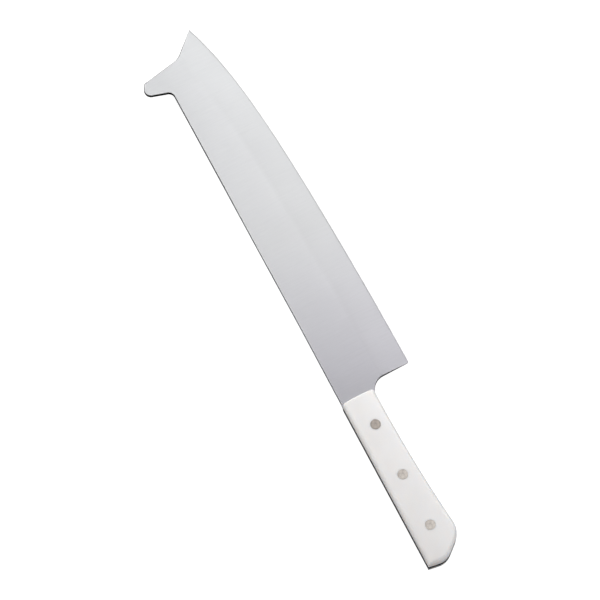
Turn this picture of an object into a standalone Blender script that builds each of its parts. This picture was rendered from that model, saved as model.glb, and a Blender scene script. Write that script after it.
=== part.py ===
"""Frozen food knife: long wide blade with a pressing horn at the nose,
full tang, two white handle scales and three two-piece cutlery rivets.

The knife lies flat on its side.  In the drawing, u runs along the knife from
the heel of the blade towards the tip, v runs across it from the spine towards
the cutting edge, and w is the height above the blade's middle plane.
In the world, +X points to the tip, +Y to the spine and +Z up.
"""
import math

import bmesh
import bpy
from mathutils import Vector
from mathutils.geometry import delaunay_2d_cdt

MM = 0.001

# ------------------------------------------------------------ driving dimensions, mm
PLATE_T = 4.0            # steel plate: blade flats, horn and tang
HANDLE_T = 20.0          # over both scales
GAP = 0.3                # clearance between touching pieces

# cutting edge
HEEL_U = 0.5             # heel line
TIP_U = 299.5            # tip
HEEL_V = 57.6            # blade width at the heel
EDGE_SWEEP = 12.4        # slow rise of the edge over its whole length
EDGE_NOSE = 11.2         # extra rise near the tip
SWEEP_POWER = 2.0
NOSE_POWER = 7.0
HEEL_R = 1.0
TIP_R = 0.35

# grind on both sides
GRIND_W = 22.0           # distance of the grind line from the edge
BEVEL_W = 1.2            # sharpening bevel
BEVEL_T = 0.60           # plate thickness at the top of the sharpening bevel
EDGE_T = 0.16            # flat left on the edge

# nose: notch and pressing horn (corner points before rounding)
NOTCH = (283.9, 15.25)
NOTCH_R = 14.0
HORN_SHOULDER = (278.15, -15.4)
HORN_SHOULDER_R = 2.0
HORN_END = (269.15, -20.75)
HORN_END_R = 5.2
HORN_ROOT_U = 262.85
HORN_ROOT_R = 4.8

# choil and handle outline
CHOIL_R = 11.0
CHOIL_TOP_V = 36.4       # where the choil leaves the heel line
FRONT_U = -6.35          # front end of the scales
FRONT_W = 24.64          # belly line there
BELLY_FALL = 0.0093      # belly line: first narrows a little ...
BELLY_RISE = 0.000452    # ... then widens towards the butt
BUTT_BELLY_U = -128.1    # corner between the belly and the slanted butt
BUTT_BELLY_R = 15.3
BUTT_END = (-143.2, 12.45)
BUTT_END_R = 13.3
SPINE_BREAK_U = 60.0     # the spine is straight; from here back it rises slightly ...
NECK_SPINE = (-4.0, -0.52)   # ... to the neck ...
FRONT_SPINE_V = -0.68    # ... and on along the handle ...
BUTT_SPINE = (-141.1, -1.42)  # ... to the butt

# scales
SCALE_ROUND = 3.0        # rounding of the long outer edges and the butt: across ...
SCALE_TALL = 3.5         # ... and down the side
SCALE_DRAFT = 0.10       # lean of the side walls between the tang and the rounding
FRONT_ROUND = 1.0        # rounding of the front edge
ROUND_STEPS = 4
FRONT_STEPS = 10

# rivets
RIVET_FIRST = 25.0       # from the front end of the scales
RIVET_PITCH = 42.0
RIVET_V = 13.22
HEAD_D = 7.5
HEAD_H = 2.2
TUBE_D = 5.0
TUBE_BORE = 4.2
TUBE_FLOOR = 1.6         # web left under the blind bore, from the head's face
TUBE_TOP_W = 6.2         # open end of the tube, above the middle plane
PIN_D = 3.6
PIN_END_W = -6.0         # free end of the pin
RIVET_SEGMENTS = 28

SCALE_IN_W = PLATE_T / 2 + GAP
SCALE_OUT_W = HANDLE_T / 2


# ------------------------------------------------------------ plane geometry helpers
def edge_v(u):
    """Height of the cutting edge from the spine at length u."""
    x = max(u, 0.0) / TIP_U
    return HEEL_V - EDGE_SWEEP * x ** SWEEP_POWER - EDGE_NOSE * x ** NOSE_POWER


def belly_v(u):
    """Underside of the handle at length u."""
    s = FRONT_U - u
    return FRONT_W - BELLY_FALL * s + BELLY_RISE * s * s


def spine_v(u):
    """Spine line of the handle at length u."""
    run = (FRONT_U - u) / (FRONT_U - BUTT_SPINE[0])
    return FRONT_SPINE_V + (BUTT_SPINE[1] - FRONT_SPINE_V) * run


def rounded(corners, step_deg=14.0):
    """Closed outline through corners (u, v, radius), each turned into an arc."""
    out = []
    n = len(corners)
    for i, (u, v, r) in enumerate(corners):
        p = Vector((u, v))
        if r <= 0.0:
            out.append(p)
            continue
        a = (Vector(corners[i - 1][:2]) - p).normalized()
        b = (Vector(corners[(i + 1) % n][:2]) - p).normalized()
        half = math.acos(max(-1.0, min(1.0, a.dot(b)))) / 2
        reach = r / math.tan(half)
        centre = p + (a + b).normalized() * (r / math.sin(half))
        first = p + a * reach - centre
        last = p + b * reach - centre
        turn = first.angle_signed(last)
        steps = max(2, int(math.ceil(abs(math.degrees(turn)) / step_deg)))
        a0 = math.atan2(first.y, first.x)
        for k in range(steps + 1):
            ang = a0 - turn * k / steps
            out.append(centre + Vector((math.cos(ang), math.sin(ang))) * r)
    return out


def edge_points(count):
    """Points on the cutting edge from near the heel to near the tip, closer together at the nose."""
    pts = []
    for k in range(1, count):
        u = TIP_U * (1.0 - (1.0 - k / count) ** 1.35)
        pts.append(Vector((u, edge_v(u))))
    return pts


def offset_from_edge(dist, count):
    """Line parallel to the cutting edge, dist towards the spine, run on past both ends."""
    pts = []
    for k in range(-1, count + 2):
        t = min(max(k / count, 0.0), 1.0)
        u = TIP_U * (1.0 - (1.0 - t) ** 1.35)
        du = 0.05
        slope = (edge_v(min(u + du, TIP_U)) - edge_v(u - du if u > du else 0.0)) / (
            min(u + du, TIP_U) - (u - du if u > du else 0.0))
        along = Vector((1.0, slope)).normalized()
        normal = Vector((along.y, -along.x))
        p = Vector((u, edge_v(u))) + normal * dist
        if k < 0:
            p -= along * 6.0
        elif k > count:
            p += along * 40.0
        pts.append(p)
    return pts


def handle_corners():
    """Spine, butt and belly of the handle, from the spine side of the butt to the front."""
    pts = [(BUTT_SPINE[0], BUTT_SPINE[1], 0.0), (BUTT_END[0], BUTT_END[1], BUTT_END_R),
           (BUTT_BELLY_U, belly_v(BUTT_BELLY_U), BUTT_BELLY_R)]
    for k in range(8):
        u = -112.0 + (112.0 - 14.0) * k / 7
        pts.append((u, belly_v(u), 0.0))
    return pts


def blade_outline():
    pts = [(HORN_ROOT_U, 0.0, HORN_ROOT_R), (SPINE_BREAK_U, 0.0, 0.0), (*NECK_SPINE, 0.0)]
    pts.append((FRONT_U - 2.5, spine_v(FRONT_U - 2.5), 0.0))
    pts += handle_corners()
    pts.append((FRONT_U - 2.2, belly_v(FRONT_U - 2.2) + 0.2, 0.0))
    pts += choil_points()
    pts.append((HEEL_U, HEEL_V, HEEL_R))
    pts += [(p.x, p.y, 0.0) for p in edge_points(30)]
    pts.append((TIP_U, edge_v(TIP_U), TIP_R))
    pts.append((NOTCH[0], NOTCH[1], NOTCH_R))
    pts.append((HORN_SHOULDER[0], HORN_SHOULDER[1], HORN_SHOULDER_R))
    pts.append((HORN_END[0], HORN_END[1], HORN_END_R))
    return rounded(pts)


def choil_points(step_deg=14.0):
    """Arc of the choil from the front of the scales up to the heel line."""
    cu = HEEL_U - CHOIL_R
    start = -math.acos((FRONT_U - cu) / CHOIL_R)
    steps = int(math.ceil(math.degrees(-start) / step_deg))
    angles = [start * (1.0 - k / steps) for k in range(steps + 1)]
    return [(cu + CHOIL_R * math.cos(a), CHOIL_TOP_V + CHOIL_R * math.sin(a), 0.0) for a in angles]


def inside(point, polygon):
    hit = False
    for a, b in zip(polygon, polygon[1:] + polygon[:1]):
        if (a.y > point.y) != (b.y > point.y):
            if point.x < a.x + (point.y - a.y) / (b.y - a.y) * (b.x - a.x):
                hit = not hit
    return hit


BLADE_OUTLINE = blade_outline()
U_MID = (max(p.x for p in BLADE_OUTLINE) + min(p.x for p in BLADE_OUTLINE)) / 2
V_MID = (max(p.y for p in BLADE_OUTLINE) + min(p.y for p in BLADE_OUTLINE)) / 2


def place(u, v, w):
    """Drawing coordinates in millimetres to world metres."""
    return Vector(((u - U_MID) * MM, (V_MID - v) * MM, (w + HANDLE_T / 2) * MM))


# ------------------------------------------------------------ blade thickness
EDGE_TRACE = [Vector((u, edge_v(u))) for u in (TIP_U * k / 600 for k in range(601))]
EDGE_TRACE.insert(0, Vector((-8.0, HEEL_V)))
_end = (EDGE_TRACE[-1] - EDGE_TRACE[-2]).normalized()
EDGE_TRACE.append(EDGE_TRACE[-1] + _end * 40.0)


def edge_distance(p):
    best = 1e9
    for a, b in zip(EDGE_TRACE, EDGE_TRACE[1:]):
        ab = b - a
        t = max(0.0, min(1.0, (p - a).dot(ab) / ab.dot(ab)))
        best = min(best, (a + ab * t - p).length)
    return best


def half_thickness(p):
    """Half the plate thickness at a point of the blade."""
    if p.x < -0.01:
        return PLATE_T / 2
    d = edge_distance(p)
    if d >= GRIND_W - 0.02:
        return PLATE_T / 2
    if d <= BEVEL_W:
        return (EDGE_T + (BEVEL_T - EDGE_T) * d / BEVEL_W) / 2
    return (BEVEL_T + (PLATE_T - BEVEL_T) * (d - BEVEL_W) / (GRIND_W - BEVEL_W)) / 2


# ------------------------------------------------------------ object helpers
def clear_scene():
    for ob in list(bpy.data.objects):
        bpy.data.objects.remove(ob, do_unlink=True)


def finish_mesh(name, bm, smooth_deg):
    bmesh.ops.recalc_face_normals(bm, faces=bm.faces[:])
    me = bpy.data.meshes.new(name)
    bm.to_mesh(me)
    bm.free()
    me.shade_smooth()
    me.set_sharp_from_angle(angle=math.radians(smooth_deg))
    ob = bpy.data.objects.new(name, me)
    bpy.context.scene.collection.objects.link(ob)
    return ob


def material(name, colour, metallic, roughness):
    mat = bpy.data.materials.new(name)
    mat.use_nodes = True
    bsdf = mat.node_tree.nodes["Principled BSDF"]
    bsdf.inputs["Base Color"].default_value = (*colour, 1.0)
    bsdf.inputs["Metallic"].default_value = metallic
    bsdf.inputs["Roughness"].default_value = roughness
    return mat


def turned(name, profile, segments):
    """Solid of revolution about the local Z axis from a profile of (radius, height)."""
    bm = bmesh.new()
    verts = [bm.verts.new((r * MM, 0.0, h * MM)) for r, h in profile]
    edges = [bm.edges.new((a, b)) for a, b in zip(verts, verts[1:])]
    bmesh.ops.spin(bm, geom=verts + edges, cent=(0, 0, 0), axis=(0, 0, 1),
                   angle=2 * math.pi, steps=segments, use_merge=True)
    bmesh.ops.remove_doubles(bm, verts=bm.verts[:], dist=1e-6)
    return finish_mesh(name, bm, 40)


def bore(ob, cutter):
    mod = ob.modifiers.new("rivet_bore", "BOOLEAN")
    mod.operation = "DIFFERENCE"
    mod.solver = "EXACT"
    mod.object = cutter


# ------------------------------------------------------------ blade with tang
def make_blade():
    points = list(BLADE_OUTLINE)
    n = len(points)
    links = [(i, (i + 1) % n) for i in range(n)]
    for dist, count in ((GRIND_W, 30), (BEVEL_W, 30)):
        line = offset_from_edge(dist, count)
        links += [(len(points) + i, len(points) + i + 1) for i in range(len(line) - 1)]
        points += line
    flat, _, tris, _, _, _ = delaunay_2d_cdt(points, links, [], 0, 1e-5)
    tris = [t for t in tris
            if inside((flat[t[0]] + flat[t[1]] + flat[t[2]]) / 3, BLADE_OUTLINE)]
    used = sorted({i for t in tris for i in t})
    half = {i: half_thickness(flat[i]) for i in used}

    bm = bmesh.new()
    top = {i: bm.verts.new(place(flat[i].x, flat[i].y, half[i])) for i in used}
    low = {i: bm.verts.new(place(flat[i].x, flat[i].y, -half[i])) for i in used}
    rim = {}
    for t in tris:
        bm.faces.new([top[i] for i in t])
        bm.faces.new([low[i] for i in reversed(t)])
        for a, b in zip(t, t[1:] + t[:1]):
            if (b, a) in rim:
                del rim[(b, a)]
            else:
                rim[(a, b)] = True
    for a, b in rim:
        bm.faces.new((top[b], top[a], low[a], low[b]))
    bmesh.ops.dissolve_limit(bm, angle_limit=math.radians(0.02), verts=bm.verts[:],
                             edges=bm.edges[:])
    bmesh.ops.triangulate(bm, faces=[f for f in bm.faces if len(f.verts) > 4])
    return finish_mesh("blade_with_tang", bm, 20)


# ------------------------------------------------------------ handle scales
def scale_outline():
    """Corner points of a scale; the front line comes last, from the belly to the spine."""
    pts = [(FRONT_U, spine_v(FRONT_U), 0.0)] + handle_corners() + [(FRONT_U, FRONT_W, 0.0)]
    return rounded(pts)


def make_scale(name, side):
    loop = scale_outline()
    n = len(loop)
    centre = sum(loop, Vector((0.0, 0.0))) / n

    def inset_loop(dist, front):
        """Outline moved inwards: front along the front line, dist everywhere else."""
        out = []
        for i, p in enumerate(loop):
            a, b = loop[i - 1], loop[(i + 1) % n]
            moved = []
            for s, e in ((a, p), (p, b)):
                along = (e - s).normalized()
                inward = Vector((-along.y, along.x))
                if inward.dot(centre - s) < 0:
                    inward = -inward
                on_front = abs(s.x - FRONT_U) < 1e-6 and abs(e.x - FRONT_U) < 1e-6
                moved.append((inward, front if on_front else dist))
            (n1, d1), (n2, d2) = moved
            det = n1.x * n2.y - n1.y * n2.x
            if abs(det) < 1e-3:
                out.append(p + (n1 + n2).normalized() * (d1 + d2) / 2)
            else:
                x = (d1 * n2.y - d2 * n1.y) / det
                y = (n1.x * d2 - n2.x * d1) / det
                out.append(p + Vector((x, y)))
        return out

    def ring(side_in, front_in, side_w, front_w):
        """Closed row of vertices; the heights given for the sides and the front blend near the corners."""
        pts = inset_loop(side_in, front_in)
        row = [(p.x, p.y, side_w) for p in pts]
        first, last = Vector(pts[-1]), Vector(pts[0])
        for k in range(1, FRONT_STEPS):
            f = k / FRONT_STEPS
            q = first.lerp(last, f)
            reach = min(f, 1.0 - f) * FRONT_W / (2.0 * SCALE_ROUND)
            blend = max(0.0, 1.0 - reach) ** 2
            row.append((q.x, q.y, front_w + (side_w - front_w) * blend))
        return [bm.verts.new(place(u, v, side * w)) for u, v, w in row]

    bm = bmesh.new()
    inner = ring(0.0, 0.0, SCALE_IN_W, SCALE_IN_W)
    rings = [inner]
    for k in range(ROUND_STEPS + 1):
        angle = math.pi / 2 * k / ROUND_STEPS
        pull, drop = 1.0 - math.cos(angle), 1.0 - math.sin(angle)
        rings.append(ring(SCALE_DRAFT + (SCALE_ROUND - SCALE_DRAFT) * pull, FRONT_ROUND * pull,
                          SCALE_OUT_W - SCALE_TALL * drop, SCALE_OUT_W - FRONT_ROUND * drop))
    m = len(inner)
    for lower, upper in zip(rings, rings[1:]):
        for i in range(m):
            j = (i + 1) % m
            bm.faces.new((lower[i], lower[j], upper[j], upper[i]))
    bm.faces.new(rings[-1])
    bm.faces.new(list(reversed(inner)))
    return finish_mesh(name, bm, 30)


# ------------------------------------------------------------ rivets
def make_male(name):
    top = HANDLE_T
    return turned(name, [
        (0.0, top), (HEAD_D / 2, top), (HEAD_D / 2, top - HEAD_H),
        (PIN_D / 2, top - HEAD_H), (PIN_D / 2, PIN_END_W + HANDLE_T / 2 + 0.5),
        (PIN_D / 2 - 0.5, PIN_END_W + HANDLE_T / 2), (0.0, PIN_END_W + HANDLE_T / 2)],
        RIVET_SEGMENTS)


def make_female(name):
    open_end = TUBE_TOP_W + HANDLE_T / 2
    return turned(name, [
        (0.0, TUBE_FLOOR), (TUBE_BORE / 2, TUBE_FLOOR), (TUBE_BORE / 2, open_end),
        (TUBE_D / 2, open_end), (TUBE_D / 2, HEAD_H), (HEAD_D / 2, HEAD_H),
        (HEAD_D / 2, 0.0), (0.0, 0.0)], RIVET_SEGMENTS)


def make_bore_cutter(name):
    """Counterbored hole through both scales and the tang."""
    wide, narrow = HEAD_D / 2 + GAP, TUBE_D / 2 + GAP
    step = HEAD_H + GAP
    return turned(name, [
        (0.0, HANDLE_T + 1.0), (wide, HANDLE_T + 1.0), (wide, HANDLE_T - step),
        (narrow, HANDLE_T - step), (narrow, step), (wide, step), (wide, -1.0),
        (0.0, -1.0)], RIVET_SEGMENTS)


def main():
    clear_scene()
    steel = material("blade_steel", (0.60, 0.60, 0.62), 1.0, 0.32)
    white = material("handle_white", (0.83, 0.83, 0.81), 0.0, 0.42)
    nickel = material("rivet_nickel", (0.48, 0.43, 0.38), 1.0, 0.38)

    frame = bpy.data.objects.new("knife_frame", None)
    bpy.context.scene.collection.objects.link(frame)

    blade = make_blade()
    upper = make_scale("handle_scale_upper", 1)
    lower = make_scale("handle_scale_lower", -1)
    blade.data.materials.append(steel)
    for ob in (upper, lower):
        ob.data.materials.append(white)

    pieces = [blade, upper, lower]
    for k, where in enumerate(("front", "middle", "rear")):
        u = FRONT_U - RIVET_FIRST - RIVET_PITCH * k
        spot = place(u, RIVET_V, -HANDLE_T / 2)
        cutter = make_bore_cutter("rivet_bore_" + where)
        cutter.location = spot
        cutter.hide_render = True
        cutter.display_type = "WIRE"
        cutter.parent = frame
        for ob in (blade, upper, lower):
            bore(ob, cutter)
        for ob in (make_male("rivet_%s_male" % where), make_female("rivet_%s_female" % where)):
            ob.location = spot
            ob.data.materials.append(nickel)
            pieces.append(ob)
    for ob in pieces:
        ob.parent = frame


main()
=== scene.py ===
"""Looks of the frozen food knife: ground steel blade with a full tang, two white
moulded scales and three two-piece rivets, lying flat on a pale floor.

Drawing coordinates are millimetres: u runs from the heel of the blade to the tip,
v from the spine to the cutting edge, w up from the blade's middle plane.
"""
import math

import bpy
import numpy as np
from mathutils import Matrix, Vector
from mathutils.geometry import delaunay_2d_cdt


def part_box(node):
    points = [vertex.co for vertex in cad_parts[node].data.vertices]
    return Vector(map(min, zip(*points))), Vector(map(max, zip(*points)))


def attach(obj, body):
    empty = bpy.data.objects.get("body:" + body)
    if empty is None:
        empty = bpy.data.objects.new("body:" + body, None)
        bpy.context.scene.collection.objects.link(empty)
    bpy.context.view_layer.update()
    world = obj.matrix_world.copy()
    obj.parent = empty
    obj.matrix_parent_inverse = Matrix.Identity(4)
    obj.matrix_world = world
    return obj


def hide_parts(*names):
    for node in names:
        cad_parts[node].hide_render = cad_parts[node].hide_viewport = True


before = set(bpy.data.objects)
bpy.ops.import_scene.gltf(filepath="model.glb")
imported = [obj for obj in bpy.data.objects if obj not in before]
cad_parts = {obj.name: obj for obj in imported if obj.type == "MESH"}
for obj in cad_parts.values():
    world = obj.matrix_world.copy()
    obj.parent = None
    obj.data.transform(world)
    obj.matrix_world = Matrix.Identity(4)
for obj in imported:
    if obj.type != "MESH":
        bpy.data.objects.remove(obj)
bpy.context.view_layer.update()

MM = 0.001

# ------------------------------------------------------------ dimensions shared with the CAD, mm
PLATE_T = 4.0
HANDLE_T = 20.0
HEEL_U = 0.5
TIP_U = 299.5
HEEL_V = 57.6
EDGE_SWEEP = 12.4
EDGE_NOSE = 11.2
HEEL_R = 1.0
TIP_R = 0.12
TIP_OUT = 1.3            # the very tip runs on a little past the end of the drawn edge
GRIND_W = 22.0
BEVEL_W = 1.2
BEVEL_T = 0.60
NOTCH = (283.9, 15.25, 14.0)
HORN_SHOULDER = (278.15, -15.4, 2.0)
HORN_END = (269.15, -20.75, 5.2)
HORN_ROOT = (262.85, 0.0, 4.8)
CHOIL_R = 11.0
CHOIL_TOP_V = 36.4
FRONT_U = -6.35
FRONT_W = 24.64
BELLY_FALL = 0.0093
BELLY_RISE = 0.000452
BUTT_BELLY_U = -128.1
BUTT_BELLY_R = 15.3
BUTT_END = (-143.2, 12.45, 13.3)
SPINE_BREAK_U = 60.0
NECK_SPINE = (-4.0, -0.52)
FRONT_SPINE_V = -0.82
BUTT_SPINE = (-141.1, -1.55)
SCALE_ROUND = 3.0
SCALE_TALL = 3.5
SCALE_DRAFT = 0.10
FRONT_ROUND = 1.0
RIVET_FIRST = 25.0
RIVET_PITCH = 42.0
RIVET_V = 13.22
HEAD_D = 7.5
HEAD_H = 2.2
TUBE_D = 5.0
TUBE_BORE = 4.2
TUBE_FLOOR = 1.6
TUBE_TOP_W = 6.2
PIN_D = 3.6
PIN_END_W = -6.0
HOLE_GAP = 0.3

# ------------------------------------------------------------ finer shape
EDGE_T = 0.06            # thickness left at the very edge
GRIND_BELLY = 0.10       # slight convexity of the ground face
GRIND_SOFT = 0.11        # softness of the grind line
BEVEL_SOFT = 0.02
PLATE_ROUND = 0.28       # broken edges of the steel plate
SPINE_ROUND = 0.16       # the spine is eased more near the horn, where the other hand presses
HORN_ROUND = 0.50
TANG_ROUND = 0.06        # the tang is ground flush with the scales
SCALE_IN_W = PLATE_T / 2 + 0.01
SCALE_OUT_W = HANDLE_T / 2
SEAM = 0.05              # broken edge of a scale along the tang
CROWN = 0.50             # the scales' faces fall away towards their edges
CROWN_REACH = 7.2
CORNER_R = 0.5           # upright corner of a scale at the butt
FRONT_CORNER_R = 1.8     # and at its front
SWELL = (2.2, 0.80)      # how softly the near scale's side rolls over, along the spine and round the butt
HEAD_SLIP = 0.02         # hairline round a rivet head

# the drawing is placed on the frame by its front rivet
_lo, _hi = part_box("rivet_front_male")
U_MID = FRONT_U - RIVET_FIRST - (_lo.x + _hi.x) / 2 / MM
V_MID = RIVET_V + (_lo.y + _hi.y) / 2 / MM


def place(u, v, w):
    return Vector(((u - U_MID) * MM, (V_MID - v) * MM, (w + HANDLE_T / 2) * MM))


def turn_to_world(nu, nv, nw):
    return Vector((nu, -nv, nw)).normalized()


# ------------------------------------------------------------ plane geometry
def edge_v(u):
    x = max(u, 0.0) / TIP_U
    return HEEL_V - EDGE_SWEEP * x ** 2 - EDGE_NOSE * x ** 7


def belly_v(u):
    s = FRONT_U - u
    return FRONT_W - BELLY_FALL * s + BELLY_RISE * s * s


def spine_v(u):
    run = (FRONT_U - u) / (FRONT_U - BUTT_SPINE[0])
    return FRONT_SPINE_V + (BUTT_SPINE[1] - FRONT_SPINE_V) * run


def rounded(corners, step_deg):
    """Closed outline through corners (u, v, radius), each with a radius turned into an arc."""
    out = []
    n = len(corners)
    for i, (u, v, r) in enumerate(corners):
        p = np.array((u, v))
        if r <= 0.0:
            out.append(p)
            continue
        a = np.array(corners[i - 1][:2]) - p
        b = np.array(corners[(i + 1) % n][:2]) - p
        a, b = a / np.linalg.norm(a), b / np.linalg.norm(b)
        half = math.acos(max(-1.0, min(1.0, float(a @ b)))) / 2
        mid = (a + b) / np.linalg.norm(a + b)
        centre = p + mid * (r / math.sin(half))
        first = p + a * (r / math.tan(half)) - centre
        last = p + b * (r / math.tan(half)) - centre
        a0 = math.atan2(first[1], first[0])
        turn = math.remainder(math.atan2(last[1], last[0]) - a0, 2 * math.pi)
        steps = max(2, int(math.ceil(abs(math.degrees(turn)) / step_deg - 1e-6)))
        for k in range(steps + 1):
            ang = a0 + turn * k / steps
            out.append(centre + r * np.array((math.cos(ang), math.sin(ang))))
    return np.array(out)


def split_long(loop, longest):
    out = []
    for p, q in zip(loop, np.roll(loop, -1, axis=0)):
        n = max(1, int(math.ceil(np.linalg.norm(q - p) / longest)))
        out += [p + (q - p) * k / n for k in range(n)]
    return np.array(out)


def inside(points, loop):
    """Which points lie inside a closed outline."""
    hit = np.zeros(len(points), bool)
    x, y = points[:, 0], points[:, 1]
    for a, b in zip(loop, np.roll(loop, -1, axis=0)):
        cross = (a[1] > y) != (b[1] > y)
        if cross.any():
            at = a[0] + (y - a[1]) / (b[1] - a[1]) * (b[0] - a[0])
            hit ^= cross & (x < at)
    return hit


def distance_to(points, chain):
    """Distance from a chain of points, and the unit direction away from it."""
    a, ab = chain[:-1], chain[1:] - chain[:-1]
    p = points[:, None, :] - a[None]
    t = np.clip((p * ab).sum(2) / (ab * ab).sum(1), 0, 1)
    q = p - t[..., None] * ab
    d2 = (q * q).sum(2)
    k = d2.argmin(1)
    row = np.arange(len(points))
    d = np.sqrt(d2[row, k])
    return d, q[row, k] / np.maximum(d, 1e-9)[:, None]


def outward(loop):
    """Mitred outward direction at each point of a closed outline."""
    nxt = np.roll(loop, -1, axis=0)
    area = (loop[:, 0] * nxt[:, 1] - loop[:, 1] * nxt[:, 0]).sum()
    along = nxt - loop
    along /= np.maximum(np.linalg.norm(along, axis=1), 1e-9)[:, None]
    side = np.stack((along[:, 1], -along[:, 0]), 1) * (1 if area > 0 else -1)
    both = side + np.roll(side, 1, axis=0)
    unit = both / np.maximum(np.linalg.norm(both, axis=1), 1e-9)[:, None]
    return unit, unit / np.maximum((unit * side).sum(1), 0.5)[:, None]


def handle_corners(belly_steps):
    pts = [(BUTT_SPINE[0], BUTT_SPINE[1], CORNER_R), BUTT_END,
           (BUTT_BELLY_U, belly_v(BUTT_BELLY_U), BUTT_BELLY_R)]
    for k in range(belly_steps + 1):
        u = -112.0 + (112.0 - 14.0) * k / belly_steps
        pts.append((u, belly_v(u), 0.0))
    return pts


def choil_points(step_deg):
    cu = HEEL_U - CHOIL_R
    start = -math.acos((FRONT_U - cu) / CHOIL_R)
    steps = int(math.ceil(math.degrees(-start) / step_deg))
    angles = [start * (1.0 - k / steps) for k in range(steps + 1)]
    return [(cu + CHOIL_R * math.cos(a), CHOIL_TOP_V + CHOIL_R * math.sin(a), 0.0) for a in angles]


def stations(count):
    return [TIP_U * (1.0 - (1.0 - k / count) ** 1.35) for k in range(count + 1)]


def blade_corners():
    tuck = FRONT_U - 2.5
    pts = [HORN_ROOT, (SPINE_BREAK_U, 0.0, 0.0), (*NECK_SPINE, 0.0), (tuck, spine_v(tuck), 0.0)]
    pts += handle_corners(7)
    pts.append((FRONT_U - 2.2, belly_v(FRONT_U - 2.2) + 0.2, 0.0))
    pts += choil_points(4.5) + [(HEEL_U, HEEL_V, HEEL_R)]
    pts += [(u, edge_v(u), 0.0) for u in stations(150)[1:-1] if u > HEEL_U + HEEL_R + 0.5]
    slope = (edge_v(TIP_U) - edge_v(TIP_U - 0.5)) / 0.5
    pts += [(TIP_U, edge_v(TIP_U), 0.0), (TIP_U + TIP_OUT, edge_v(TIP_U) + slope * TIP_OUT, TIP_R),
            NOTCH, HORN_SHOULDER, HORN_END]
    return pts


# ------------------------------------------------------------ cross-section of the blade
EDGE_TRACE = np.array([(-8.0, HEEL_V)] + [(TIP_U * k / 600, edge_v(TIP_U * k / 600)) for k in range(601)])
_run = EDGE_TRACE[-1] - EDGE_TRACE[-2]
EDGE_TRACE = np.vstack((EDGE_TRACE, EDGE_TRACE[-1] + _run / np.linalg.norm(_run) * 40.0))


def soft_min(a, da, b, db, k):
    """Smooth minimum of two curves, with its slope."""
    g = np.maximum(k - np.abs(a - b), 0.0)
    low = a < b
    wa = np.where(low, 1.0 - g / (2 * k), g / (2 * k))
    return np.minimum(a, b) - g * g / (4 * k), wa * da + (1 - wa) * db


def section(d):
    """Half thickness and slope at distance d from the cutting edge."""
    d = np.minimum(np.asarray(d, float), 45.0)
    run = GRIND_W - BEVEL_W
    rise = (PLATE_T - BEVEL_T) / 2
    t = (d - BEVEL_W) / run
    face = BEVEL_T / 2 + rise * (t + GRIND_BELLY * t * (1 - t))
    d_face = rise * (1 + GRIND_BELLY * (1 - 2 * t)) / run
    flat = np.full_like(d, PLATE_T / 2)
    bevel = EDGE_T / 2 + (BEVEL_T - EDGE_T) / 2 * d / BEVEL_W
    d_bevel = np.full_like(d, (BEVEL_T - EDGE_T) / 2 / BEVEL_W)
    h, dh = soft_min(face, d_face, flat, np.zeros_like(d), GRIND_SOFT)
    h, dh = soft_min(h, dh, bevel, d_bevel, BEVEL_SOFT)
    return np.maximum(h, EDGE_T / 2), dh


# ------------------------------------------------------------ mesh collector
class Skin:
    """Points and faces of one piece, with a normal for every face corner."""

    def __init__(self):
        self.co, self.faces, self.normals = [], [], []

    def point(self, co):
        self.co.append(Vector(co))
        return len(self.co) - 1

    def face(self, idx, normals):
        keep = [(i, n) for k, (i, n) in enumerate(zip(idx, normals)) if i != idx[k - 1]]
        if len(keep) < 3:
            return
        idx = [i for i, _ in keep]
        normals = [n for _, n in keep]
        pts = [self.co[i] for i in idx]
        flat = Vector((0.0, 0.0, 0.0))
        for a, b in zip(pts, pts[1:] + pts[:1]):
            flat += (a - pts[0]).cross(b - pts[0])
        want = sum(normals, Vector((0.0, 0.0, 0.0)))
        if flat.dot(want) < 0:
            idx.reverse()
            normals.reverse()
        self.faces.append(idx)
        self.normals.append(normals)

    def strip(self, row_a, row_b, normals_a, normals_b, closed=True):
        n = len(row_a)
        for i in range(n if closed else n - 1):
            j = (i + 1) % n
            self.face([row_a[i], row_a[j], row_b[j], row_b[i]],
                      [normals_a[i], normals_a[j], normals_b[j], normals_b[i]])

    def build(self, name, material, origin=None):
        co = self.co if origin is None else [c - origin for c in self.co]
        me = bpy.data.meshes.new(name)
        me.from_pydata([tuple(c) for c in co], [], self.faces)
        me.shade_smooth()
        me.normals_split_custom_set([tuple(n) for f in self.normals for n in f])
        uv = me.uv_layers.new(name="plan")
        uv.data.foreach_set("uv", [x for f in self.faces for i in f
                                   for x in (co[i].x * 4.0, co[i].y * 4.0)])
        me.materials.append(material)
        ob = bpy.data.objects.new(name, me)
        if origin is not None:
            ob.location = origin
        bpy.context.scene.collection.objects.link(ob)
        return ob


def ring_order(loop):
    """The outline turned anticlockwise."""
    nxt = np.roll(loop, -1, axis=0)
    area = (loop[:, 0] * nxt[:, 1] - loop[:, 1] * nxt[:, 0]).sum()
    return loop if area > 0 else loop[::-1]


def triangles(outer, holes, lines, extra):
    """Triangulation of an outline with holes that follows the given lines."""
    points, edges, faces = [], [], []
    for loop in [outer] + holes:
        loop = ring_order(loop)
        faces.append(list(range(len(points), len(points) + len(loop))))
        points += list(loop)
    for line in lines:
        edges += [(len(points) + i, len(points) + i + 1) for i in range(len(line) - 1)]
        points += list(line)
    points += list(extra)
    flat, _, tris, came, _, within = delaunay_2d_cdt([Vector(p) for p in points], edges, faces, 0, 1e-4)
    flat = np.array([(p.x, p.y) for p in flat])
    tris = np.array([t for t, f in zip(tris, within) if list(f) == [0]])
    return flat, tris, came


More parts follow.
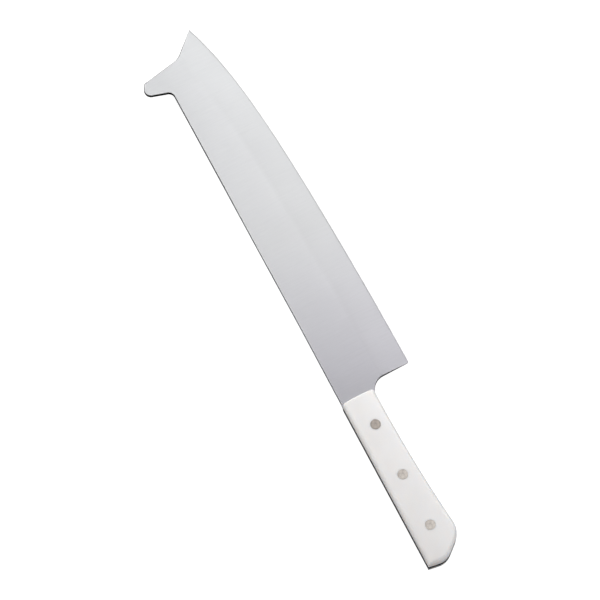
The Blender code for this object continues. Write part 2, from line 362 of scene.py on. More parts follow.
def rim_loops(tris):
    """Closed chains of border edges."""
    seen = set()
    for a, b, c in tris:
        for e in ((a, b), (b, c), (c, a)):
            if (e[1], e[0]) in seen:
                seen.remove((e[1], e[0]))
            else:
                seen.add((int(e[0]), int(e[1])))
    after = dict(seen)
    loops = []
    while after:
        start = min(after)
        loop = [start]
        at = after.pop(start)
        while at != start:
            loop.append(at)
            at = after.pop(at)
        loops.append(loop)
    return loops


def circle(u, v, r, n):
    return np.array([(u + r * math.cos(2 * math.pi * k / n), v + r * math.sin(2 * math.pi * k / n))
                     for k in range(n)])


RIVET_U = [FRONT_U - RIVET_FIRST - RIVET_PITCH * k for k in range(3)]
UP = Vector((0.0, 0.0, 1.0))


# ------------------------------------------------------------ blade
def offset_line(dist, count):
    """Points at a fixed distance from the cutting edge, run on a little past both ends."""
    us = np.array(stations(count))
    du = 0.02
    slope = np.array([(edge_v(min(u + du, TIP_U)) - edge_v(max(u - du, 0.0)))
                      / (min(u + du, TIP_U) - max(u - du, 0.0)) for u in us])
    along = np.stack((np.ones_like(us), slope), 1)
    along /= np.linalg.norm(along, axis=1)[:, None]
    side = np.stack((along[:, 1], -along[:, 0]), 1)
    base = np.stack((us, [edge_v(u) for u in us]), 1) + side * dist
    head = [base[0] - along[0] * s for s in (5.0, 2.5)]
    tail = [base[-1] + along[-1] * s for s in (2.0, 4.5, 7.5, 11.0, 15.0, 20.0, 26.0)]
    return np.vstack((head, base, tail))


def easing(points):
    """Radius of the plate's broken edge at each point of its outline."""
    u, v = points[:, 0], points[:, 1]
    t = np.clip((190.0 - u) / 60.0, 0.0, 1.0)
    spine = HORN_ROUND + (SPINE_ROUND - HORN_ROUND) * t * t * (3.0 - 2.0 * t)
    r = np.where((v < 3.0) & (u < HORN_ROOT[0]), spine, np.where(u > HORN_ROOT[0], HORN_ROUND, PLATE_ROUND))
    neck = np.clip((u - FRONT_U) / 8.0, 0.0, 1.0)
    return TANG_ROUND + (r - TANG_ROUND) * neck


def make_blade(material):
    outline = split_long(rounded(blade_corners(), 4.5), 5.0)
    d, _ = distance_to(outline, EDGE_TRACE)
    h, _ = section(d)
    _, mitre = outward(outline)
    broken = np.where(d < 0.5, 0.0, np.minimum(easing(outline), 0.42 * h))
    inner = outline - mitre * broken[:, None]

    steps = [0.45, 0.9, 1.12, 1.32, 1.7, 3.0, 5.5, 8.5, 11.5, 14.5, 17.0, 18.6, 19.6, 20.4,
             21.1, 21.8, 22.5, 23.2, 24.0, 25.0]
    lines = [offset_line(s, 100) for s in steps]
    ribs = [np.array([ln[k] for ln in lines]) for k in range(len(lines[0]))]
    holes = [circle(u, RIVET_V, TUBE_D / 2 + HOLE_GAP, 40) for u in RIVET_U]
    grid = np.array([(u, v) for u in np.arange(-140.0, 285.0, 7.5) for v in np.arange(-17.0, 45.0, 7.5)])
    gd, _ = distance_to(grid, EDGE_TRACE)
    rim, _ = distance_to(grid, np.vstack((inner, inner[:1])))
    clear = (gd > 28.5) & (rim > 3.0) & inside(grid, inner)
    for u in RIVET_U:
        clear &= np.hypot(grid[:, 0] - u, grid[:, 1] - RIVET_V) > 5.0

    flat, tris, _ = triangles(inner, holes, lines + ribs, grid[clear])
    d, away = distance_to(flat, EDGE_TRACE)
    h, dh = section(d)

    skin = Skin()
    walls = []
    used = sorted({int(i) for t in tris for i in t})
    loops = rim_loops(tris)
    loops.sort(key=len, reverse=True)
    for side in (1, -1):
        idx = {i: skin.point(place(flat[i, 0], flat[i, 1], side * h[i])) for i in used}
        nrm = {i: turn_to_world(-dh[i] * away[i, 0], -dh[i] * away[i, 1], side) for i in used}
        for t in tris:
            skin.face([idx[int(i)] for i in t], [nrm[int(i)] for i in t])
        if side > 0:
            top_idx, top_nrm = idx, nrm
        else:
            low_idx, low_nrm = idx, nrm

    # broken edges and the narrow walls round the plate and through the rivet holes
    for number, loop in enumerate(loops):
        pts = flat[loop]
        unit, mit = outward(pts)
        if number > 0:
            unit, mit = -unit, -mit
        dd, hh = d[loop], h[loop]
        r = np.where(dd < 0.45, 0.0, np.minimum(easing(pts), 0.42 * hh)) if number == 0 else np.zeros(len(loop))
        wall = [turn_to_world(x, y, 0.0) for x, y in unit]
        ends = []
        for side, idx, nrm in ((1, top_idx, top_nrm), (-1, low_idx, low_nrm)):
            row = [idx[i] for i in loop]
            row_n = [nrm[i] for i in loop]
            for k in (1, 2, 3):
                a = math.pi / 6 * k
                new, new_n = [], []
                for j, i in enumerate(loop):
                    if r[j] <= 0.0:
                        new.append(idx[i])
                        new_n.append(wall[j] if k == 3 else nrm[i])
                        continue
                    q = pts[j] + mit[j] * r[j] * math.sin(a)
                    new.append(skin.point(place(q[0], q[1], side * (hh[j] - r[j] * (1 - math.cos(a))))))
                    walls.append(new[-1])
                    new_n.append((wall[j] * math.sin(a) + nrm[i] * math.cos(a)).normalized())
                skin.strip(row, new, row_n, new_n)
                row, row_n = new, new_n
            ends.append(row)
        skin.strip(ends[0], ends[1], wall, wall)
    ob = skin.build("knife_blade", material)
    me = ob.data
    co = np.array([tuple(v.co) for v in me.vertices])
    plan = np.stack((co[:, 0] / MM + U_MID, V_MID - co[:, 1] / MM), 1)
    edge, _ = distance_to(plan, EDGE_TRACE)
    layer = me.attributes.new("edge_mm", "FLOAT", "POINT")
    layer.data.foreach_set("value", edge.astype(np.float32))
    # painted shade: the plate's narrow walls are made dull and coloured near black, standing in for the dark
    # surroundings they reflect; less so along the spine, most of all round the butt
    u, v = plan[:, 0], plan[:, 1]
    far = np.clip((u - 150.0) / 80.0, 0.0, 1.0)
    end = np.clip((BUTT_SPINE[0] + 6.0 - u) / 5.0, 0.0, 1.0)
    painted_wall_shade = np.full(len(co), 1.0)
    painted_wall_shade = np.where((v < 3.0) & (u < HORN_ROOT[0] - 6.0), 0.30 + 0.50 * far, painted_wall_shade)
    painted_wall_shade = np.where(u < FRONT_U - 0.5, 0.35 + 0.65 * end, painted_wall_shade)
    wall = np.zeros(len(co), bool)
    wall[walls] = True
    layer = me.attributes.new("dull", "FLOAT", "POINT")
    layer.data.foreach_set("value", np.where(wall, painted_wall_shade, 0.0).astype(np.float32))
    return ob


# ------------------------------------------------------------ handle scales
def scale_corners(side_in, front_in):
    """Corners of a scale's outline moved inwards, with radii to match."""
    pts = [(FRONT_U, spine_v(FRONT_U), FRONT_CORNER_R)] + handle_corners(22) + [(FRONT_U, FRONT_W, FRONT_CORNER_R)]
    n = len(pts)
    poly = np.array([p[:2] for p in pts])
    nxt = np.roll(poly, -1, axis=0)
    area = (poly[:, 0] * nxt[:, 1] - poly[:, 1] * nxt[:, 0]).sum()
    along = (nxt - poly) / np.linalg.norm(nxt - poly, axis=1)[:, None]
    inward = np.stack((-along[:, 1], along[:, 0]), 1) * (1 if area > 0 else -1)
    move = np.full(n, side_in)
    move[n - 1] = front_in
    out = []
    for i in range(n):
        n1, d1, n2, d2 = inward[i - 1], move[i - 1], inward[i], move[i]
        det = n1[0] * n2[1] - n1[1] * n2[0]
        if abs(det) < 1e-3:
            q = poly[i] + (n1 + n2) / np.linalg.norm(n1 + n2) * (d1 + d2) / 2
        else:
            q = poly[i] + np.array(((d1 * n2[1] - d2 * n1[1]) / det, (n1[0] * d2 - n2[0] * d1) / det))
        r = pts[i][2]
        shrink = 0.2 * side_in if i in (0, n - 1) else side_in
        out.append((q[0], q[1], max(r - shrink, 0.02) if r > 0 else 0.0))
    return out


def make_scale(name, side, material):
    front_steps = 24

    def ring(side_in, front_in):
        """One closed ring, with the plan direction and how much each point belongs to the front."""
        loop = rounded(scale_corners(side_in, front_in), 6.0)
        unit, _ = outward(loop)
        front = [loop[-1] + (loop[0] - loop[-1]) * k / front_steps for k in range(1, front_steps)]
        pts = np.vstack((loop, front))
        unit = np.vstack((unit, np.tile((1.0, 0.0), (front_steps - 1, 1))))
        return pts, unit

    base, base_unit = ring(0.0, 0.0)
    n = len(base)
    sides = base[:n - front_steps + 1]
    # the rounding is tighter along the front, and runs into the long edges near the corners
    reach = np.minimum(np.abs(base[:, 1] - base[0, 1]), np.abs(base[:, 1] - base[n - front_steps, 1]))
    on_front = base[:, 0] > FRONT_U - 1e-4
    corner = np.clip(1.0 - reach / 5.0, 0.0, 1.0) ** 2
    tall = np.where(on_front, FRONT_ROUND + (SCALE_TALL - FRONT_ROUND) * corner, SCALE_TALL)
    wide = np.where(on_front, FRONT_ROUND, SCALE_ROUND - SCALE_DRAFT)

    skin = Skin()
    sgn = float(side)

    def row_at(pts, w):
        return [skin.point(place(p[0], p[1], sgn * x)) for p, x in zip(pts, w)]

    def crown(pts):
        """Drop of the crowned face at each point, and the direction its surface leans to."""
        d, away = distance_to(pts, sides)
        t = np.clip(1.0 - d / CROWN_REACH, 0.0, 1.0)
        lean = away * (-2.0 * CROWN / CROWN_REACH * t)[:, None]
        return CROWN * t * t, [turn_to_world(x, y, sgn) for x, y in lean]

    wall_n = [turn_to_world(x, y, 0.0) for x, y in base_unit]
    back_n = [UP * -sgn] * n
    seam_n = [(a * 0.7 + b * 0.7).normalized() for a, b in zip(wall_n, back_n)]
    lean = SCALE_DRAFT / (SCALE_OUT_W - CROWN - SCALE_TALL - SCALE_IN_W)
    roll = np.maximum(0.0, -base_unit[:, 1]) * SWELL[0] + np.maximum(0.0, -base_unit[:, 0]) * SWELL[1]
    soft = roll * (1.0 if side > 0 else 0.0) + lean
    lean_n = [wn if f else (wn + UP * sgn * x).normalized() for wn, f, x in zip(wall_n, on_front, soft)]

    # back face, seam edge and wall
    seam_pts, _ = ring(SEAM, SEAM)
    back = row_at(seam_pts, np.full(n, SCALE_IN_W))
    foot = row_at(base, np.full(n, SCALE_IN_W + SEAM))
    skin.strip(back, foot, seam_n, seam_n)
    last, last_n = foot, lean_n
    # edge rounding, then the crowned margin of the outer face
    steps = 9
    for k in range(steps + 1):
        a = math.pi / 2 * k / steps
        pull, drop = 1.0 - math.cos(a), 1.0 - math.sin(a)
        pts, _ = ring(SCALE_DRAFT + (SCALE_ROUND - SCALE_DRAFT) * pull, FRONT_ROUND * pull)
        fall, face_n = crown(pts)
        row = row_at(pts, SCALE_OUT_W - fall - tall * drop)
        row_n = [(wn * math.cos(a) + fn * math.sin(a) * q).normalized()
                 for wn, fn, q in zip(lean_n, face_n, wide / tall)]
        skin.strip(last, row, last_n, row_n)
        last, last_n = row, row_n
    for x in (3.7, 4.5, 5.4, 6.3, CROWN_REACH):
        pts, _ = ring(x, FRONT_ROUND + (x - SCALE_ROUND) * 0.6)
        fall, face_n = crown(pts)
        row = row_at(pts, SCALE_OUT_W - fall)
        skin.strip(last, row, last_n, face_n)
        last, last_n = row, face_n
    top_pts = pts

    # counterbored rivet holes
    seg = 64
    head_r, lip, tube_r = HEAD_D / 2 + HEAD_SLIP, 0.05, TUBE_D / 2 + 0.08
    mouth, throat = [], []
    for u in RIVET_U:
        spokes = [(math.cos(2 * math.pi * k / seg), math.sin(2 * math.pi * k / seg)) for k in range(seg)]
        inn = [turn_to_world(-x, -y, 0.0) for x, y in spokes]
        lip_n = [(a + UP * sgn).normalized() for a in inn]

        def hoop(r, w):
            return row_at(circle(u, RIVET_V, r, seg), np.full(seg, w))

        rows = [hoop(head_r + lip, SCALE_OUT_W), hoop(head_r, SCALE_OUT_W - lip),
                hoop(head_r, SCALE_OUT_W - HEAD_H - 0.05), hoop(tube_r, SCALE_OUT_W - HEAD_H - 0.05),
                hoop(tube_r, SCALE_IN_W)]
        skin.strip(rows[0], rows[1], lip_n, lip_n)
        skin.strip(rows[1], rows[2], inn, inn)
        skin.strip(rows[2], rows[3], [UP * sgn] * seg, [UP * sgn] * seg)
        skin.strip(rows[3], rows[4], inn, inn)
        mouth.append(rows[0])
        throat.append(rows[4])

    def cap(outer_pts, outer_row, hole_r, hole_rows, normal):
        loops = [outer_pts] + [circle(u, RIVET_V, hole_r, seg) for u in RIVET_U]
        known = []
        for loop, row in zip(loops, [outer_row] + hole_rows):
            known += list(row) if ring_order(loop) is loop else list(reversed(row))
        _, tris, came = triangles(loops[0], loops[1:], [], [])
        for t in tris:
            skin.face([known[came[int(i)][0]] for i in t], [normal] * 3)

    cap(top_pts, last, head_r + lip, mouth, UP * sgn)
    cap(seam_pts, back, tube_r, throat, UP * -sgn)
    return skin.build(name, material)


# ------------------------------------------------------------ rivets
def turned(name, profile, material, origin, segments=72, sharp_deg=28.0):
    """Solid of revolution about an upright axis; profile is (radius, height above the floor)."""
    skin = Skin()
    pts = [np.array(p, float) for p in profile]
    flats = []
    for a, b in zip(pts, pts[1:]):
        t = b - a
        flats.append(np.array((-t[1], t[0])) / np.linalg.norm(t))
    rows = []
    for r, h in profile:
        if r < 1e-6:
            rows.append([skin.point(origin + Vector((0, 0, h * MM)))] * segments)
        else:
            rows.append([skin.point(origin + Vector((r * MM * math.cos(2 * math.pi * k / segments),
                                                     r * MM * math.sin(2 * math.pi * k / segments), h * MM)))
                         for k in range(segments)])

    def normals(vec):
        return [Vector((vec[0] * math.cos(2 * math.pi * k / segments),
                        vec[0] * math.sin(2 * math.pi * k / segments), vec[1])).normalized()
                for k in range(segments)]

    limit = math.cos(math.radians(sharp_deg))
    for i, f in enumerate(flats):
        start = f + flats[i - 1] if i > 0 and f @ flats[i - 1] > limit else f
        stop = f + flats[i + 1] if i + 1 < len(flats) and f @ flats[i + 1] > limit else f
        skin.strip(rows[i], rows[i + 1], normals(start), normals(stop))
    return skin.build(name, material, origin)


def head_profile(top, sign):
    """Face of a rivet head from its middle out: a centre mark, tool rings and a broken rim."""
    out = []
    for r, dip in ((0.0, 0.060), (0.22, 0.052), (0.42, 0.012), (0.60, 0.0), (1.05, 0.0), (1.22, 0.022),
                   (1.42, 0.022), (1.58, 0.0), (2.35, 0.004), (2.55, 0.018), (2.72, 0.006), (3.25, 0.02),
                   (3.52, 0.035), (3.64, 0.055), (3.72, 0.10), (3.75, 0.17)):
        out.append((r, top - sign * dip))
    return out


def make_rivets(material):
    made = []
    for u, where, rubbed in zip(RIVET_U, ("front", "middle", "rear"), (0.0, 0.8, 1.0)):
        spot = place(u, RIVET_V, -HANDLE_T / 2)
        top = HANDLE_T
        pin_end = PIN_END_W + HANDLE_T / 2
        male = head_profile(top, 1) + [
            (HEAD_D / 2, top - HEAD_H + 0.1), (HEAD_D / 2 - 0.1, top - HEAD_H), (PIN_D / 2 + 0.2, top - HEAD_H),
            (PIN_D / 2, top - HEAD_H - 0.2), (PIN_D / 2, pin_end + 0.5), (PIN_D / 2 - 0.4, pin_end), (0.0, pin_end)]
        made.append((turned("rivet_%s_pin" % where, male, material, spot), "rivet_%s_male" % where))
        open_end = TUBE_TOP_W + HANDLE_T / 2
        female = [(0.0, TUBE_FLOOR), (TUBE_BORE / 2, TUBE_FLOOR), (TUBE_BORE / 2, open_end - 0.1),
                  (TUBE_BORE / 2 + 0.1, open_end), (TUBE_D / 2 - 0.1, open_end), (TUBE_D / 2, open_end - 0.1),
                  (TUBE_D / 2, HEAD_H + 0.2), (TUBE_D / 2 + 0.2, HEAD_H), (HEAD_D / 2 - 0.1, HEAD_H),
                  (HEAD_D / 2, HEAD_H - 0.1)]
        female += list(reversed(head_profile(0.0, -1)))
        made.append((turned("rivet_%s_tube" % where, female, material, spot), "rivet_%s_female" % where))
        for ob, _ in made[-2:]:
            layer = ob.data.attributes.new("rubbed", "FLOAT", "POINT")
            layer.data.foreach_set("value", [rubbed] * len(ob.data.vertices))
    return made


# ------------------------------------------------------------ materials
class Nodes:
    """Short-hand for building a node tree."""

    def __init__(self, tree):
        self.tree = tree

    def add(self, kind, inputs=None, **props):
        n = self.tree.nodes.new(kind)
        for key, value in props.items():
            setattr(n, key, value)
        for key, value in (inputs or {}).items():
            if isinstance(value, bpy.types.NodeSocket):
                self.tree.links.new(value, n.inputs[key])
            else:
                n.inputs[key].default_value = value
        return n

    def coords(self, scale, turn=0.0, source=None):
        if source is None:
            source = self.add("ShaderNodeTexCoord").outputs["Object"]
        m = self.add("ShaderNodeMapping", {"Vector": source, "Rotation": (0.0, 0.0, turn), "Scale": scale},
                     vector_type="POINT")
        return m.outputs["Vector"]

    def noise(self, vector, scale=1.0, detail=3.0, rough=0.55, distort=0.0):
        return self.add("ShaderNodeTexNoise", {"Vector": vector, "Scale": scale, "Detail": detail,
                                               "Roughness": rough, "Distortion": distort}).outputs["Fac"]

    def spread(self, value, lo, hi, out_lo, out_hi):
        return self.add("ShaderNodeMapRange", {"Value": value, "From Min": lo, "From Max": hi,
                                               "To Min": out_lo, "To Max": out_hi}).outputs["Result"]

    def ramp(self, value, stops):
        """Grey ramp through (position, level) stops."""
        n = self.add("ShaderNodeValToRGB", {"Fac": value})
        bar = n.color_ramp.elements
        while len(bar) < len(stops):
            bar.new(0.5)
        for mark, (at, level) in zip(bar, sorted(stops)):
            mark.position = at
            mark.color = (level, level, level, 1.0)
        return n.outputs["Color"]

    def math(self, op, a, b):
        n = self.add("ShaderNodeMath", operation=op)
        for k, x in enumerate((a, b)):
            if isinstance(x, bpy.types.NodeSocket):
                self.tree.links.new(x, n.inputs[k])
            else:
                n.inputs[k].default_value = x
        return n.outputs[0]

    def blend(self, fac, a, b):
        n = self.add("ShaderNodeMix", data_type="RGBA")
        for sock, x in ((n.inputs[0], fac), (n.inputs[6], a), (n.inputs[7], b)):
            if isinstance(x, bpy.types.NodeSocket):
                self.tree.links.new(x, sock)
            else:
                sock.default_value = x if isinstance(x, float) else (*x, 1.0)
        return n.outputs[2]


def new_material(name):
    mat = bpy.data.materials.new(name)
    mat.use_nodes = True
    mat.node_tree.nodes.clear()
    n = Nodes(mat.node_tree)
    bsdf = n.add("ShaderNodeBsdfPrincipled")
    out = n.add("ShaderNodeOutputMaterial", {"Surface": bsdf.outputs["BSDF"]})
    return mat, n, bsdf, out


def put(n, bsdf, **sockets):
    for key, value in sockets.items():
        sock = bsdf.inputs[key.replace("_", " ")]
        if isinstance(value, bpy.types.NodeSocket):
            n.tree.links.new(value, sock)
        else:
            sock.default_value = value


def steel_material():
    """Stainless plate, satin ground across the blade, with a finer bright sharpening bevel."""
    mat, n, bsdf, _ = new_material("ground_steel")
    fine = n.noise(n.coords((3000.0, 42.0, 60.0), 0.10), detail=4.0, rough=0.6)
    mid = n.noise(n.coords((950.0, 70.0, 60.0), 0.05), detail=3.0, rough=0.6)
    patch = n.noise(n.coords((42.0, 26.0, 20.0)), detail=2.0, rough=0.5)
    grain = n.math("ADD", n.math("MULTIPLY", fine, 0.55), n.math("MULTIPLY", mid, 0.45))
    tone = n.math("ADD", n.math("MULTIPLY", grain, 0.75), n.math("MULTIPLY", patch, 0.25))
    put(n, bsdf, Anisotropic=0.35)
    edge = n.add("ShaderNodeAttribute", attribute_name="edge_mm").outputs["Fac"]
    # painted reflection: the base colour is brightest just above the grind line, darkest just below it, lighter again
    # towards the cutting edge and falling off towards the spine
    painted_reflection_bands = n.ramp(n.spread(edge, 0.0, 60.0, 0.0, 1.0),
                  ((0.03, 0.970), (0.17, 0.955), (0.34, 0.930), (0.40, 1.0), (0.56, 0.975), (0.85, 0.940)))
    colour = n.blend(n.spread(tone, 0.32, 0.68, 0.0, 1.0), (0.738, 0.738, 0.747), (0.798, 0.798, 0.805))
    # painted light and shade at the nose: the flat above the grind line is set darker, the ground face a little
    # lighter, and everything darkens a few percent towards the point
    painted_nose_tones = n.ramp(n.spread(edge, 0.0, 60.0, 0.0, 1.0),
                  ((0.03, 0.985), (0.17, 0.970), (0.34, 0.945), (0.42, 0.985), (0.56, 0.965), (0.70, 0.930)))
    along = n.add("ShaderNodeSeparateXYZ", {0: n.add("ShaderNodeTexCoord").outputs["Object"]}).outputs["X"]
    # painted reflection: towards the heel the steel takes a lighter violet tint
    painted_heel_tint_fade = n.spread(along, place(15.0, 0.0, 0.0).x, place(125.0, 0.0, 0.0).x, 1.0, 0.0)
    painted_violet_reflection = n.blend(n.spread(tone, 0.32, 0.68, 0.0, 1.0), (0.766, 0.756, 0.803), (0.828, 0.818, 0.867))
    colour = n.blend(painted_heel_tint_fade, colour, painted_violet_reflection)
    painted_nose_tones = n.math("MULTIPLY", painted_nose_tones, n.spread(along, place(255.0, 0.0, 0.0).x, place(290.0, 0.0, 0.0).x, 1.0, 0.95))
    painted_reflection_bands = n.blend(n.spread(along, place(200.0, 0.0, 0.0).x, place(265.0, 0.0, 0.0).x, 0.0, 1.0), painted_reflection_bands, painted_nose_tones)
    shade = n.add("ShaderNodeMix", data_type="RGBA", blend_type="MULTIPLY")
    shade.inputs[0].default_value = 1.0
    n.tree.links.new(colour, shade.inputs[6])
    n.tree.links.new(painted_reflection_bands, shade.inputs[7])
    # painted shade: where the dull attribute is set, the walls turn non-metallic and near black, standing in for the
    # dark surroundings they reflect
    dull = n.add("ShaderNodeAttribute", attribute_name="dull").outputs["Fac"]
    scale = n.noise(n.coords((400.0, 400.0, 400.0)), detail=2.0)
    painted_wall_shade = n.blend(scale, (0.014, 0.014, 0.014), (0.042, 0.041, 0.040))
    put(n, bsdf, Base_Color=n.blend(dull, shade.outputs[2], painted_wall_shade))
    put(n, bsdf, Metallic=n.spread(dull, 0.0, 1.0, 1.0, 0.0), Specular_IOR_Level=n.spread(dull, 0.0, 1.0, 0.5, 0.0))
    honed = n.spread(edge, 0.9, 1.5, 0.07, 0.0)
    rough = n.math("SUBTRACT", n.spread(grain, 0.3, 0.7, 0.33, 0.43), honed)
    put(n, bsdf, Roughness=rough)
    tangent = n.add("ShaderNodeTangent", direction_type="UV_MAP", uv_map="plan")
    put(n, bsdf, Tangent=tangent.outputs["Tangent"])
    bump = n.add("ShaderNodeBump", {"Strength": 0.12, "Distance": 0.00003, "Height": grain})
    put(n, bsdf, Normal=bump.outputs["Normal"])
    return mat


def plastic_material():
    """White moulded acetal with a soft sheen and a faint moulded grain."""
    mat, n, bsdf, _ = new_material("white_acetal")
    cloud = n.noise(n.coords((28.0, 40.0, 40.0)), detail=2.0)
    speck = n.noise(n.coords((900.0, 900.0, 900.0)), detail=3.0, rough=0.6)
    skin = n.noise(n.coords((260.0, 260.0, 260.0)), detail=2.0)
    mix = n.math("ADD", n.math("MULTIPLY", cloud, 0.8), n.math("MULTIPLY", speck, 0.2))
    tone = n.spread(mix, 0.35, 0.65, 0.0, 1.0)
    # painted light: whiter and a little cooler towards the belly, where the light falls; the plain tone stays along the
    # spine
    across = n.add("ShaderNodeSeparateXYZ", {0: n.add("ShaderNodeTexCoord").outputs["Object"]}).outputs["Y"]
    painted_belly_light = n.spread(across, place(0.0, 7.0, 0.0).y, place(0.0, 20.0, 0.0).y, 0.0, 1.0)
    plain_and_rubbed_tone = n.blend(tone, (0.849, 0.848, 0.846), (0.879, 0.879, 0.878))
    painted_lit_white = n.blend(tone, (0.892, 0.896, 0.901), (0.916, 0.920, 0.925))
    put(n, bsdf, Base_Color=n.blend(painted_belly_light, plain_and_rubbed_tone, painted_lit_white))
    put(n, bsdf, Roughness=n.spread(skin, 0.3, 0.7, 0.40, 0.48))
    put(n, bsdf, Specular_IOR_Level=0.45, IOR=1.48)
    put(n, bsdf, Subsurface_Weight=1.0, Subsurface_Scale=0.0015, Subsurface_Radius=(1.0, 0.94, 0.88))
    height = n.math("ADD", n.math("MULTIPLY", speck, 0.35), n.math("MULTIPLY", skin, 0.65))
    bump = n.add("ShaderNodeBump", {"Strength": 0.10, "Distance": 0.00004, "Height": height})
    put(n, bsdf, Normal=bump.outputs["Normal"])
    return mat


def rivet_material():
    """Nickel silver, faced on a lathe and rubbed with the handle: the more rubbed, the paler and the fainter its rings."""
    mat, n, bsdf, _ = new_material("nickel_silver")
    obj = n.add("ShaderNodeTexCoord").outputs["Object"]
    rub = n.add("ShaderNodeAttribute", attribute_name="rubbed").outputs["Fac"]
    flat = n.add("ShaderNodeVectorMath", {0: obj, 1: (1000.0, 1000.0, 0.0)}, operation="MULTIPLY").outputs["Vector"]
    radius = n.add("ShaderNodeVectorMath", {0: flat}, operation="LENGTH").outputs["Value"]
    grain = n.noise(n.coords((760.0, 480.0, 300.0), 0.6, obj), detail=4.0, rough=0.65)
    dull = n.noise(n.coords((330.0, 330.0, 330.0), 0.0, obj), detail=2.0)
    wander = n.math("ADD", radius, n.spread(dull, 0.3, 0.7, -0.18, 0.18))
    cut = n.ramp(n.spread(wander, 0.0, 4.0, 0.0, 1.0),
                 ((0.03, 1.0), (0.19, 0.62), (0.33, 0.88), (0.55, 0.98), (0.72, 0.78), (0.84, 0.46), (0.93, 0.30)))
    rings = n.add("ShaderNodeTexWave", {"Vector": obj, "Scale": 620.0, "Distortion": 1.2, "Detail": 2.0,
                                        "Detail Scale": 1.5}, wave_type="RINGS", rings_direction="Z",
                  wave_profile="SIN").outputs["Fac"]
    spots = n.math("ADD", n.math("MULTIPLY", grain, 0.45), n.math("ADD", n.math("MULTIPLY", dull, 0.40),
                                                                n.math("MULTIPLY", rings, 0.15)))
    tone = n.math("ADD", n.math("MULTIPLY", cut, 0.55), n.math("MULTIPLY", n.spread(spots, 0.42, 0.58, 0.0, 1.0), 0.45))
    plain_and_rubbed_tone = n.math("ADD", n.math("MULTIPLY", cut, 0.2), n.math("MULTIPLY", n.spread(spots, 0.42, 0.58, 0.0, 1.0), 0.8))
    turned_face = n.blend(tone, (0.305, 0.278, 0.256), (0.665, 0.601, 0.545))
    rubbed_face = n.blend(plain_and_rubbed_tone, (0.603, 0.565, 0.525), (0.950, 0.900, 0.840))
    put(n, bsdf, Metallic=0.4, Base_Color=n.blend(rub, turned_face, rubbed_face))
    put(n, bsdf, Roughness=n.spread(tone, 0.2, 0.9, 0.72, 0.60))
    height = n.math("ADD", n.math("MULTIPLY", rings, 0.6), n.math("MULTIPLY", grain, 0.4))
    bump = n.add("ShaderNodeBump", {"Strength": 0.15, "Distance": 0.00003, "Height": height})
    put(n, bsdf, Normal=bump.outputs["Normal"])
    return mat


def floor_material():
    mat, n, bsdf, _ = new_material("pale_floor")
    cloud = n.noise(n.coords((6.0, 6.0, 6.0)), detail=2.0)
    put(n, bsdf, Base_Color=n.blend(cloud, (0.30, 0.30, 0.30), (0.31, 0.31, 0.31)), Roughness=0.9,
        Specular_IOR_Level=0.0)
    put(n, bsdf, Emission_Color=(1.0, 1.0, 1.0, 1.0), Emission_Strength=0.97)
    return mat


# ------------------------------------------------------------ pieces on the frame
steel, white, nickel = steel_material(), plastic_material(), rivet_material()

blade = make_blade(steel)
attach(blade, "root")
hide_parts("blade_with_tang")

for piece_name, node_name, face_side in (("handle_slab_upper", "handle_scale_upper", 1),
                                         ("handle_slab_lower", "handle_scale_lower", -1)):
    slab = make_scale(piece_name, face_side, white)
    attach(slab, "root")
    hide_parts(node_name)

for rivet, node_name in make_rivets(nickel):
    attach(rivet, "root")
    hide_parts(node_name)

# ------------------------------------------------------------ floor, light and camera
TILT = math.radians(16.0)           # camera leans from straight above towards the lower edge of the picture
TURN = math.radians(117.6536)       # direction of the blade in the picture
RANGE = 4.0
LENS = 329.9
AIM = place(79.033, 9.611, 0.0)

RIGHT = Vector((math.cos(TURN), -math.sin(TURN), 0.0))     # the picture's right, on the floor
AHEAD = Vector((math.sin(TURN), math.cos(TURN), 0.0))      # the picture's top, on the floor


def stage_point(right, ahead, height):
    """A point above the floor, from the middle of the picture, in metres."""
    return Vector((AIM.x, AIM.y, 0.0)) + RIGHT * right + AHEAD * ahead + UP * height


def sheet(name, height, material):
    half = 4.0
    me = bpy.data.meshes.new(name)
    me.from_pydata([(-half, -half, height), (half, -half, height), (half, half, height), (-half, half, height)],
                   [], [(0, 1, 2, 3)])
    me.materials.append(material)
    ob = bpy.data.objects.new(name, me)
    ob.visible_glossy = False
    ob.visible_transmission = False
    bpy.context.scene.collection.objects.link(ob)
    return ob


floor = sheet("floor", -0.0003, floor_material())
floor.visible_diffuse = False


def soft_light(name, at, to, width, depth, power, colour=(1.0, 1.0, 1.0)):
    lamp = bpy.data.lights.new(name, "AREA")
    lamp.shape = "RECTANGLE"
    lamp.size, lamp.size_y = width, depth
    lamp.energy = power
    lamp.color = colour
    ob = bpy.data.objects.new(name, lamp)
    back = (at - to).normalized()
    side = AHEAD.cross(back)
    side = RIGHT.copy() if side.length < 1e-6 else side.normalized()
    upv = back.cross(side)
    ob.matrix_world = Matrix.Translation(at) @ Matrix((side, upv, back)).transposed().to_4x4()
    ob.visible_camera = False
    bpy.context.scene.collection.objects.link(ob)
    return ob


PANEL_UP = 0.75
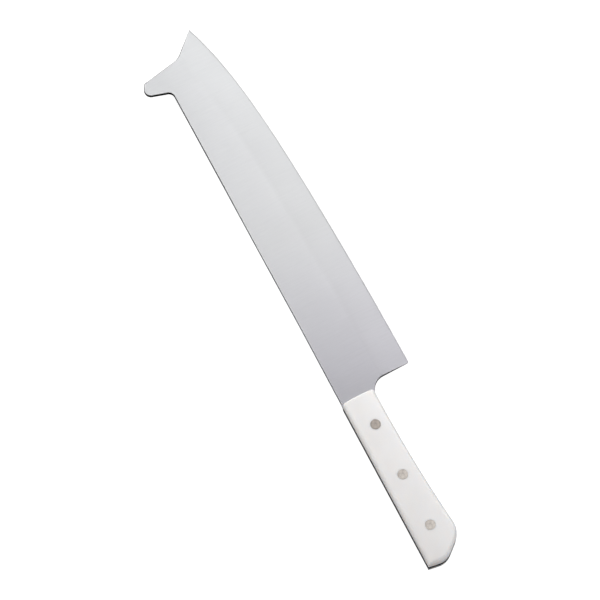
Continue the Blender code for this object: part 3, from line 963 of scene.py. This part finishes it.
# the far panels only fill: they stay out of reflections, so that the steel isn't burnt out from other sides
for name, right, ahead, wide, deep, power, tint, mirrored in (
        ("panel_front_right", 0.15, -0.35, 0.30, 0.30, 1.26, (1.0, 0.939, 0.92), False),
        ("panel_front", -0.15, -0.1, 0.30, 0.20, 0.583, (1.0, 0.974, 0.963), False),
        ("panel_middle", -0.15, 0.225, 0.30, 0.15, 0.3852, (0.981, 0.987, 1.0), True),
        ("panel_heel", 0.15, 0.225, 0.30, 0.15, 0.1602, (1.0, 0.984, 0.982), True),
        ("panel_side", 0.525, 0.225, 0.45, 0.15, 0.2943, (1.0, 0.996, 0.992), True),
        ("panel_blade", 0.15, 0.4, 0.30, 0.20, 0.2904, (0.976, 0.992, 1.0), True),
        ("panel_nose_left", -0.525, 0.65, 0.45, 0.30, 1.404, (0.991, 0.992, 1.0), True),
        ("panel_nose", -0.15, 0.65, 0.30, 0.30, 0.6732, (0.975, 0.996, 1.0), True),
        ("panel_nose_right", 0.15, 0.65, 0.30, 0.30, 0.2988, (0.992, 1.0, 0.991), True),
        ("panel_back_left", -0.525, 1.1, 0.45, 0.60, 23.45, (1.0, 0.971, 0.95), False)):
    lamp = soft_light(name, stage_point(right, ahead, PANEL_UP), stage_point(right, ahead, 0.0), wide, deep, power, tint)
    lamp.visible_glossy = mirrored

world = bpy.data.worlds.new("studio")
world.use_nodes = True
world.node_tree.nodes.clear()
wn = Nodes(world.node_tree)
ray = wn.add("ShaderNodeTexCoord").outputs["Generated"]
rise = wn.add("ShaderNodeVectorMath", {0: ray, 1: (0.0, 0.0, 1.0)}, operation="DOT_PRODUCT").outputs["Value"]
ring = wn.math("MULTIPLY", wn.spread(rise, 0.0, 0.08, 0.0, 1.0), wn.spread(rise, 0.65, 0.85, 1.0, 0.0))
toward = wn.add("ShaderNodeVectorMath", {0: ray, 1: tuple(RIGHT)}, operation="DOT_PRODUCT").outputs["Value"]
dome = wn.math("MULTIPLY", ring, wn.spread(toward, 0.0, 0.9, 0.20, 1.0))
bg = wn.add("ShaderNodeBackground", {"Color": dome, "Strength": 1.0})
wn.add("ShaderNodeOutputWorld", {"Surface": bg.outputs["Background"]})
bpy.context.scene.world = world
bpy.context.scene.view_settings.view_transform = "Standard"

cam = bpy.data.cameras.new("camera")
cam.lens = LENS
cam.sensor_width = 36.0
cam.clip_end = 30.0
camera = bpy.data.objects.new("camera", cam)
back = AHEAD * -math.sin(TILT) + UP * math.cos(TILT)
top = AHEAD * math.cos(TILT) + UP * math.sin(TILT)
camera.matrix_world = Matrix.Translation(AIM + back * RANGE) @ Matrix((RIGHT, top, back)).transposed().to_4x4()
bpy.context.scene.collection.objects.link(camera)
bpy.context.scene.camera = camera
